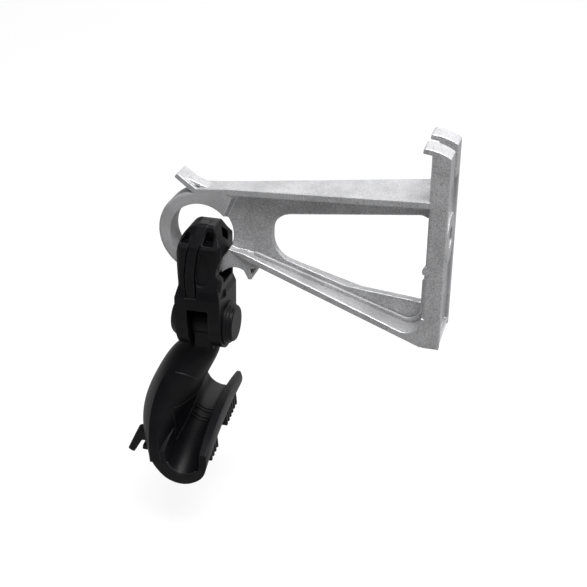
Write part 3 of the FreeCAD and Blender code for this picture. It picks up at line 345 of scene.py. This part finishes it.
@dataclass(frozen=True)
class CastAlloy(Finish):
    """As-cast aluminium: pale, sandy grain, darker clouds, pits, painted shade, painted edge
    highlights.
    """

    name: str = "as_cast_alloy"
    dark: Triple = (0.39, 0.39, 0.40)
    light: Triple = (0.80, 0.80, 0.815)
    # Colour of the painted shade in shut-in places
    painted_shade_colour: Triple = (0.19, 0.19, 0.195)
    # Colour of the painted highlight on edges
    painted_highlight: Triple = (0.93, 0.93, 0.94)
    sand: Noise = Noise(1500.0, 2.0, 0.6)
    cloud: Noise = Noise(45.0, 3.0, 0.55)
    pit: Noise = Noise(420.0, 2.0, 0.5)
    sand_ramp: Ramp = Ramp(0.36, 0.64)
    cloud_ramp: Ramp = Ramp(0.3, 0.7)
    pit_ramp: Ramp = Ramp(0.62, 0.75)
    edge_ramp: Ramp = Ramp(0.01, 0.14)
    sand_tone: float = 0.7
    cloud_tone: float = 0.3
    pit_tone: float = 0.5
    highlight_share: float = 0.9
    # Painted shade from ambient occlusion: close in at corners, farther in at the bore and where
    # the web meets the flanges
    corner: PaintedShade = PaintedShade(5.0 * MILLIMETRE, Ramp(0.38, 0.95), 0.7)
    hollow_shade: PaintedShade = PaintedShade(30.0 * MILLIMETRE, Ramp(0.35, 0.95), 0.42)
    metallic: float = 0.5
    worn_metallic: float = 0.35
    roughness: float = 0.42
    sand_roughness: float = 0.24
    worn_polish: float = 0.24
    edge_radius: float = 1.4 * MILLIMETRE
    relief: float = 0.13 * MILLIMETRE
    cloud_relief: float = 0.8
    pit_relief: float = 0.8

    def inputs(self, graph: Graph) -> Inputs:
        """Work out the cast skin.

        Args:
            graph: The material's graph.

        Returns:
            The values or signals by socket name.
        """
        sand = graph.noise(self.sand)
        cloud = graph.noise(self.cloud)
        pits = graph.noise(self.pit).along(self.pit_ramp)
        rounded = graph.soft_edges(self.edge_radius)
        # Edge mask: a painted highlight in the colour, and a smoother, more metallic edge
        edge_highlight_and_wear = graph.edge_mask(rounded).along(self.edge_ramp)
        tone = self.cloud_tone * cloud.along(self.cloud_ramp) \
            + self.sand_tone * sand.along(self.sand_ramp) - self.pit_tone * pits
        # Painted shade where ambient occlusion finds the place shut in
        painted_shade = graph.painted_shade(self.corner) + graph.painted_shade(self.hollow_shade)
        cast = graph.blend(painted_shade, graph.blend(tone, self.dark, self.light), self.painted_shade_colour)
        height = sand + self.cloud_relief * cloud - self.pit_relief * pits
        return {
            # Painted highlight on edges
            "Base Color": graph.blend(edge_highlight_and_wear * self.highlight_share, cast, self.painted_highlight),
            "Metallic": self.metallic + self.worn_metallic * edge_highlight_and_wear,
            "Roughness": self.roughness + self.sand_roughness * sand - self.worn_polish * edge_highlight_and_wear,
            "Normal": graph.bump(height, self.relief, rounded),
        }


@dataclass(frozen=True)
class MouldedPolymer(Finish):
    """Black moulded polymer: satin skin, faint grain, a painted highlight on edges and light
    scuffs.
    """

    name: str = "black_moulded_polymer"
    dark: Triple = (0.0032, 0.0032, 0.0042)
    light: Triple = (0.0075, 0.0075, 0.0095)
    # Colour of the scuffs and of the painted highlight on edges
    scuff_and_highlight: Triple = (0.05, 0.05, 0.055)
    grain: Noise = Noise(1900.0, 2.0, 0.6)
    flow: Noise = Noise(38.0, 3.0, 0.55)
    scuff: Noise = Noise(260.0, 4.0, 0.7)
    skin_ramp: Ramp = Ramp(0.35, 0.7)
    patch_ramp: Ramp = Ramp(0.5, 0.7)
    scuff_ramp: Ramp = Ramp(0.60, 0.72)
    edge_ramp: Ramp = Ramp(0.03, 0.25)
    edge_highlight_share: float = 0.6
    scuff_share: float = 0.5
    specular: float = 0.21
    roughness: float = 0.30
    grain_roughness: float = 0.16
    scuff_roughness: float = 0.12
    worn_polish: float = 0.14
    edge_radius: float = 1.3 * MILLIMETRE
    relief: float = 0.06 * MILLIMETRE
    flow_relief: float = 2.0

    def inputs(self, graph: Graph) -> Inputs:
        """Work out the moulded skin.

        Args:
            graph: The material's graph.

        Returns:
            The values or signals by socket name.
        """
        grain = graph.noise(self.grain)
        flow = graph.noise(self.flow)
        scuffs = graph.noise(self.scuff).along(self.scuff_ramp)
        rounded = graph.soft_edges(self.edge_radius)
        edge_highlight_and_wear = graph.edge_mask(rounded).along(self.edge_ramp)
        skin = graph.blend(flow.along(self.skin_ramp), self.dark, self.light)
        # Painted highlight on edges, plus scuffs in patches
        mask = edge_highlight_and_wear * self.edge_highlight_share + scuffs * flow.along(self.patch_ramp) * self.scuff_share
        rough = self.roughness + self.grain_roughness * grain + self.scuff_roughness * scuffs
        return {
            "Base Color": graph.blend(mask, skin, self.scuff_and_highlight),
            "Specular IOR Level": self.specular,
            "Roughness": rough - self.worn_polish * edge_highlight_and_wear,
            "Normal": graph.bump(grain + self.flow_relief * flow, self.relief, rounded),
        }


@dataclass(frozen=True)
class HighlitPolymer(MouldedPolymer):
    """The same polymer in a lighter grey: a painted highlight for ridges and lips."""

    name: str = "highlit_polymer"
    dark: Triple = (0.016, 0.016, 0.018)
    light: Triple = (0.040, 0.040, 0.044)


@dataclass(frozen=True)
class StudioFloor(Finish):
    """A pale floor that shows white to the camera and in reflections, and keeps the shadow."""

    name: str = "studio_floor"
    colour: Triple = (0.15, 0.15, 0.15)
    roughness: float = 0.9
    lift: float = 0.87
    mirror: float = 0.28

    def inputs(self, graph: Graph) -> Inputs:
        """Work out the floor.

        Args:
            graph: The material's graph.

        Returns:
            The values or signals by socket name.
        """
        seen = graph.node("ShaderNodeLightPath", {}, {}, "Is Camera Ray")
        mirrored = graph.node("ShaderNodeLightPath", {}, {}, "Is Glossy Ray")
        return {
            "Base Color": graph.rgba(self.colour),
            "Roughness": self.roughness,
            "Emission Color": graph.rgba(WHITE),
            "Emission Strength": (seen + self.mirror * mirrored) * self.lift,
        }


# The studio


@dataclass(frozen=True)
class Softbox:
    """A plain rectangular lamp that faces the object. Lengths in metres.

    It hangs at where from the object's middle, and a radiance of 1 is white.
    """

    name: str
    where: Triple
    size: Pair
    radiance: float

    def hang(self, target: Vector) -> None:
        """Put the lamp in the scene.

        Args:
            target: The object's middle.
        """
        wide, tall = self.size
        data = bpy.data.lights.new(self.name, "AREA")
        data.shape = "RECTANGLE"
        data.size = wide
        data.size_y = tall
        data.energy = self.radiance * math.pi * wide * tall
        lamp = bpy.data.objects.new(self.name, data)
        lamp.location = target + Vector(self.where)
        lamp.rotation_euler = (-Vector(self.where)).to_track_quat("-Z", "Y").to_euler()
        lamp.visible_camera = False
        bpy.context.scene.collection.objects.link(lamp)


SOFTBOXES = (
    Softbox("back_softbox", (0.55, 1.7, 0.95), (3.2, 1.5), 1.3),
    Softbox("top_softbox", (0.2, 0.3, 1.6), (1.2, 1.0), 0.5),
    Softbox("right_softbox", (1.7, -0.1, 0.9), (1.2, 1.2), 1.8),
    Softbox("front_softbox", (0.3, -0.5, 1.75), (1.2, 1.0), 10.0),
)


@dataclass
class Studio:
    """Floor, lamps, world and the camera of the photograph. Lengths in metres, angles in degrees.

    The sky lights the object with sky_strength and shows shown_strength to the camera.
    """

    azimuth: float = 14.57
    elevation: float = 26.11
    roll: float = 0.92
    distance: float = 1.0
    target: Triple = (-0.11895, 0.0, -0.06274)
    pixels_per_metre: float = 1000.0 / 0.78
    sensor: float = 36.0
    clip_start: float = 0.05
    clip_end: float = 50.0
    floor_drop: float = 0.05
    floor_half: float = 6.0
    sky_strength: float = 0.14
    shown_strength: float = 0.90
    softboxes: tuple[Softbox, ...] = SOFTBOXES
    floor: StudioFloor = StudioFloor()

    def camera(self) -> None:
        """Put the camera where the photograph was taken from."""
        turn, rise, lean = (math.radians(v) for v in (self.azimuth, self.elevation, self.roll))
        right = Vector((math.cos(turn), math.sin(turn), 0.0))
        up = Vector((-math.sin(turn) * math.sin(rise), math.cos(turn) * math.sin(rise),
                     math.cos(rise)))
        back = right.cross(up)
        across = right * math.cos(lean) + up * math.sin(lean)
        above = up * math.cos(lean) - right * math.sin(lean)
        data = bpy.data.cameras.new("photo_camera")
        data.sensor_width = self.sensor
        data.lens = self.sensor * self.distance * self.pixels_per_metre / PHOTO_SIZE
        data.clip_start = self.clip_start
        data.clip_end = self.clip_end
        camera = bpy.data.objects.new("photo_camera", data)
        turned = Matrix((across, above, back)).transposed()
        camera.matrix_world = Matrix.Translation(Vector(self.target) + back * self.distance) \
            @ turned.to_4x4()
        bpy.context.scene.collection.objects.link(camera)
        bpy.context.scene.camera = camera

    def ground(self, height: float) -> None:
        """Lay the floor.

        Args:
            height: The floor's height.
        """
        half = self.floor_half
        mesh = bpy.data.meshes.new("studio_floor")
        corners = [(-half, -half, height), (half, -half, height), (half, half, height),
                   (-half, half, height)]
        mesh.from_pydata(corners, [], [(0, 1, 2, 3)])
        mesh.materials.append(self.floor.material())
        plane = bpy.data.objects.new("studio_floor", mesh)
        bpy.context.scene.collection.objects.link(plane)
        plane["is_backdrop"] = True

    def sky(self) -> None:
        """Set the world: an even grey light that the camera sees as nearly white."""
        world = bpy.data.worlds.new("studio_world")
        graph = Graph(world)
        seen = graph.node("ShaderNodeLightPath", {}, {}, "Is Camera Ray")
        lit, shown = (
            graph.node("ShaderNodeBackground", {}, {"Color": graph.rgba(WHITE), "Strength": value})
            for value in (self.sky_strength, self.shown_strength))
        mixed = graph.node("ShaderNodeMixShader", {}, {0: seen, 1: lit, 2: shown})
        graph.close("ShaderNodeOutputWorld", mixed)
        bpy.context.scene.world = world

    def build(self, lowest: float) -> None:
        """Set up the whole studio.

        Args:
            lowest: The height of the object's lowest point.
        """
        bpy.context.scene.view_settings.view_transform = "Standard"
        self.camera()
        self.ground(lowest - self.floor_drop)
        self.sky()
        for softbox in self.softboxes:
            softbox.hang(Vector(self.target))


# Surfaces from curves


@dataclass(frozen=True)
class Bead:
    """A bead that runs along a path, with rounded ends. Lengths in millimetres.

    wide and tall are half the section's width and height, and power is how square it is.
    """

    wide: float
    tall: float
    power: float = 2.0
    around: int = 20
    end_rings: int = 5

    def sweep(self, path: np.ndarray, side: np.ndarray) -> Skin:
        """Run the section along a path.

        Each ring is |u / wide| ** power + |v / tall| ** power = 1, with u along the side and v
        along the path's direction crossed with the side. Past each end of the path, at the
        share s of the height, the ring shrinks by sqrt(1 - s ** 2) and closes on a pole.

        Args:
            path: Points along the middle, a row each.
            side: The direction of the width.

        Returns:
            The points and the faces.
        """
        along = np.gradient(path, axis=0)
        along /= np.linalg.norm(along, axis=1, keepdims=True)
        across = np.broadcast_to(side, path.shape)
        across = across - along * np.sum(across * along, axis=1, keepdims=True)
        across = across / np.linalg.norm(across, axis=1, keepdims=True)
        above = np.cross(along, across)
        past = 1.0 - np.sin(np.linspace(0.0, 0.5 * math.pi, self.end_rings + 1)[1:-1])
        shrink = np.sqrt(1.0 - past ** 2)
        first = path[0] - along[0] * self.tall * past[:, None]
        last = (path[-1] + along[-1] * self.tall * past[:, None])[::-1]
        ends = (len(past), len(past))
        middles = np.vstack([first, path, last])
        widths = np.pad(across, (ends, (0, 0)), mode="edge")
        heights = np.pad(above, (ends, (0, 0)), mode="edge")
        scale = np.concatenate([shrink, np.ones(len(path)), shrink[::-1]])
        turn = np.linspace(0.0, 2.0 * math.pi, self.around, endpoint=False)
        shape = 2.0 / self.power
        u = self.wide * np.sign(np.cos(turn)) * np.abs(np.cos(turn)) ** shape
        v = self.tall * np.sign(np.sin(turn)) * np.abs(np.sin(turn)) ** shape
        rings = middles[:, None, :] + scale[:, None, None] * (
            u[None, :, None] * widths[:, None, :] + v[None, :, None] * heights[:, None, :])
        poles = np.vstack([path[0] - along[0] * self.tall, path[-1] + along[-1] * self.tall])
        return self.close(rings, poles)

    @staticmethod
    def close(rings: np.ndarray, poles: np.ndarray) -> Skin:
        """Join rings into a closed skin with a pole at each end.

        Args:
            rings: Ring by ring, point by point.
            poles: The first and the last pole.

        Returns:
            The points and the faces, outward.
        """
        count, around = rings.shape[:2]
        grid = np.arange(count * around).reshape(count, around)
        turned = np.roll(grid, -1, axis=1)
        quads = np.stack([grid[:-1], turned[:-1], turned[1:], grid[1:]], axis=-1).reshape(-1, 4)
        pole = count * around
        start = np.stack([np.full(around, pole), turned[0], grid[0]], axis=-1)
        stop = np.stack([np.full(around, pole + 1), grid[-1], turned[-1]], axis=-1)
        points = np.vstack([rings.reshape(-1, 3), poles])
        return points, quads.tolist() + start.tolist() + stop.tolist()


# The object


@dataclass
class Kit:
    """What the sub-assemblies share: the CAD nodes and the finishes."""

    nodes: dict[str, bpy.types.Object]
    finishes: dict[Slot, bpy.types.Material]
    # The lighter polymer that paints a highlight on ridges
    painted_highlight: bpy.types.Material

    def dress(self, node: str, slot: Slot) -> None:
        """Give a CAD node its finish.

        Args:
            node: The node's name.
            slot: The finish's slot.
        """
        target = self.nodes[node]
        material = self.finishes[slot]
        if target.material_slots:
            for place in target.material_slots:
                place.material = material
        else:
            target.data.materials.append(material)
        log.info("%s: %s", node, material.name)

    def piece(self, name: str, skin: Skin, body: Body, slot: Slot, painted_highlight: bool = False) -> None:
        """Make a piece from a skin and let it ride.

        Args:
            name: The piece's name.
            skin: Its vertices in millimetres and its faces.
            body: The body that carries it.
            slot: Its finish.
            painted_highlight: Whether it has the lighter polymer of the painted highlight.
        """
        points, faces = skin
        mesh = bpy.data.meshes.new(name)
        mesh.from_pydata((points * MILLIMETRE).tolist(), [], faces)
        mesh.validate()
        mesh.update()
        mesh.polygons.foreach_set("use_smooth", np.ones(len(mesh.polygons), bool))
        mesh.materials.append(self.painted_highlight if painted_highlight else self.finishes[slot])
        made = bpy.data.objects.new(name, mesh)
        bpy.context.scene.collection.objects.link(made)
        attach(made, body.value)
        log.info("%s: %d faces on %s", name, len(faces), body.value)


@dataclass
class Bracket:
    """The cast bracket, with the bead of metal where its web meets the lower flange.

    corner is the x and z where the flange's upper side meets the channel, and slope is the
    flange's fall for each millimetre along X.
    """

    kit: Kit
    corner: Pair = (-14.6, -76.17)
    slope: float = 0.3317
    corner_radius: float = 12.0
    web_half: float = 3.0
    bead: Bead = Bead(1.55, 2.3, 4.0)
    bead_out: float = 1.05
    bead_up: float = 1.3
    bead_end: float = -148.0
    bead_rise: float = 22.0
    run_points: int = 60
    corner_points: int = 25
    rise_points: int = 12

    def build(self) -> None:
        """Dress the casting and lay the beads."""
        self.kit.dress("bracket", Slot.ALLOY)
        for name, side in (("sill_bead_left", -1.0), ("sill_bead_right", 1.0)):
            skin = self.bead.sweep(self.bead_path(side), np.array([0.0, 1.0, 0.0]))
            self.kit.piece(name, skin, Body.FRAME, Slot.ALLOY)

    def bead_path(self, side: float) -> np.ndarray:
        """The bead's middle line: along the flange, round the corner and up the channel.

        The straight part is z = corner z - slope * (x - corner x), with the corner moved in by
        bead_up. The corner is a circle that touches it and the upright x = corner x, and the
        upright ends bead_rise above.

        Args:
            side: -1 for the left of the web, 1 for the right.

        Returns:
            The points, a row each.
        """
        corner_x = self.corner[0] - self.bead_up
        corner_z = self.corner[1] + self.bead_up
        fall = math.atan(self.slope)
        tangent = self.corner_radius / math.tan(0.5 * (0.5 * math.pi - fall))
        turn = np.linspace(-0.5 * math.pi - fall, 0.0, self.corner_points)
        arc = np.stack([corner_x + self.corner_radius * (np.cos(turn) - 1.0),
                        corner_z + tangent + self.corner_radius * np.sin(turn)], axis=-1)
        start = np.array([self.bead_end, arc[0, 1] - self.slope * (self.bead_end - arc[0, 0])])
        share = np.linspace(0.0, 1.0, self.run_points)[:-1, None]
        run = start * (1.0 - share) + arc[0] * share
        top = arc[-1] + np.array([0.0, self.bead_rise])
        rise = np.linspace(arc[-1], top, self.rise_points)[1:]
        flat = np.vstack([run, arc, rise])
        depth = np.full(len(flat), side * (self.web_half + self.bead_out))
        return np.stack([flat[:, 0], depth, flat[:, 1]], axis=-1)


@dataclass
class HangingLink:
    """The link's two halves, the pin and its cap, with a plate of painted shade inside the link's
    window.

    shade_plate_middle is a point on the window's face, which leans back by shade_plate_tilt
    degrees, and the plate lies between the shade_plate_depths behind that face.
    """

    kit: Kit
    shade_plate_middle: Triple = (-177.7, 10.2, -21.5)
    shade_plate_tilt: float = 54.0
    shade_plate_depths: Pair = (1.4, 6.5)
    shade_plate_points: int = 12
    shade_plate: Bead = Bead(5.2, 0.8, 4.0)

    def build(self) -> None:
        """Dress the moulded pieces and set a plate of painted shade that runs into the window."""
        for node in ("link_front_half", "link_rear_half", "pivot_pin", "pin_cap"):
            self.kit.dress(node, Slot.POLYMER)
        tilt = math.radians(self.shade_plate_tilt)
        outward = np.array([math.sin(tilt), 0.0, math.cos(tilt)])
        side = np.array([-math.cos(tilt), 0.0, math.sin(tilt)])
        depths = np.linspace(*self.shade_plate_depths, self.shade_plate_points)[:, None]
        # A black plate that stops light in the window: painted shade
        skin = self.shade_plate.sweep(np.array(self.shade_plate_middle) - depths * outward, side)
        self.kit.piece("window_shade_plate", skin, Body.LINK, Slot.POLYMER)


@dataclass
class CableClamp:
    """The clamp's body and its grip jaw, with what the mould left on the body's inner side.

    Places are millimetres in the level clamp, from the pivot: x across, y along the cable and z
    up. The groove's floor has its lowest line at groove_x and groove_z, and droops by end_drop
    and widens by end_flare at half_length. crease_pull draws the crease's curve to itself.
    """

    kit: Kit
    pivot: Triple = (-191.2, 0.0, -95.9)
    pitch: float = 12.0
    groove_x: float = -11.5
    groove_z: float = -115.0
    groove_radius: float = 12.0
    half_length: float = 59.0
    end_drop: float = 8.5
    end_flare: float = 2.5
    arc_points: int = 36
    rib_places: tuple[float, ...] = (16.5, 12.5, 5.0, 1.0)
    rib_sweep: Pair = (-58.0, 12.0)
    rib: Bead = Bead(0.75, 0.75)
    lip_place: float = -56.8
    lip_sweep: Pair = (-75.0, 48.0)
    lip: Bead = Bead(0.9, 1.2)
    crease_ends: tuple[Triple, Triple] = ((-21.8, -23.1, -41.0), (-6.6, -18.2, -49.0))
    crease_pull: Triple = (-12.6, -25.0, -39.6)
    crease_points: int = 30
    crease: Bead = Bead(0.6, 0.8)

    def build(self) -> None:
        """Dress both pieces, lay the ribs, edge the groove's end and mark the wall's crease."""
        for node in ("clamp_body", "grip_jaw"):
            self.kit.dress(node, Slot.POLYMER)
        along = self.turned((0.0, 1.0, 0.0))
        upward = self.turned((0.0, 0.0, 1.0))
        for number, where in enumerate(self.rib_places, 1):
            self.ridge(f"groove_rib_{number}", self.rib, self.floor_arc(where, self.rib_sweep),
                       along)
        self.ridge("near_lip", self.lip, self.floor_arc(self.lip_place, self.lip_sweep), along)
        self.ridge("wall_crease", self.crease, self.crease_path(), upward)

    def ridge(self, name: str, bead: Bead, path: np.ndarray, side: np.ndarray) -> None:
        """Lay a ridge on the clamp's body in the lighter polymer of the painted highlight.

        Args:
            name: The piece's name.
            bead: Its section.
            path: Its middle line.
            side: The direction of its width.
        """
        self.kit.piece(name, bead.sweep(path, side), Body.CLAMP, Slot.POLYMER, painted_highlight=True)

    def turned(self, direction: Triple | np.ndarray) -> np.ndarray:
        """Turn directions of the level clamp by its rest pitch.

        Args:
            direction: One direction, or a row per direction.

        Returns:
            The directions in the frame.
        """
        lean = math.radians(self.pitch)
        x, y, z = np.moveaxis(np.asarray(direction, dtype=float), -1, 0)
        return np.stack([x, y * math.cos(lean) - z * math.sin(lean),
                         y * math.sin(lean) + z * math.cos(lean)], axis=-1)

    def crease_path(self) -> np.ndarray:
        """The crease on the wall's near face.

        A quadratic curve first * (1 - t) ** 2 + 2 * pull * t * (1 - t) + last * t ** 2.

        Returns:
            The points, a row each.
        """
        first, last = (np.array(point) for point in self.crease_ends)
        pull = np.array(self.crease_pull)
        t = np.linspace(0.0, 1.0, self.crease_points)[:, None]
        level = first * (1.0 - t) ** 2 + 2.0 * pull * t * (1.0 - t) + last * t ** 2
        return self.turned(level) + np.array(self.pivot)

    def floor_arc(self, where: float, sweep: Pair) -> np.ndarray:
        """An arc round the groove's floor.

        With t = (where / half_length) ** 2 the radius is groove_radius + end_flare * t and the
        middle lies radius above groove_z - end_drop * t.

        Args:
            where: The place along the groove.
            sweep: The arc's first and last angle from straight down, in degrees.

        Returns:
            The points, a row each.
        """
        share = (where / self.half_length) ** 2
        radius = self.groove_radius + self.end_flare * share
        turn = np.radians(np.linspace(*sweep, self.arc_points))
        level = np.stack([self.groove_x + radius * np.sin(turn), np.full(len(turn), where),
                          self.groove_z - self.end_drop * share + radius * (1.0 - np.cos(turn))],
                         axis=-1)
        return self.turned(level) + np.array(self.pivot)


def main() -> None:
    """Load the frame, build the pieces and the studio, and take the bounds again."""
    logging.basicConfig(level=logging.INFO, format="%(message)s")
    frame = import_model()
    low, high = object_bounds()
    finishes = {
        Slot.ALLOY: CastAlloy().material(),
        Slot.POLYMER: MouldedPolymer().material(),
    }
    # The lighter polymer paints a highlight on the clamp's ridges
    kit = Kit(frame["nodes"], finishes, HighlitPolymer().material())
    for assembly in (Bracket(kit), HangingLink(kit), CableClamp(kit)):
        assembly.build()
    Studio().build(low.z)
    low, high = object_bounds()


if __name__ == "__main__":
    main()
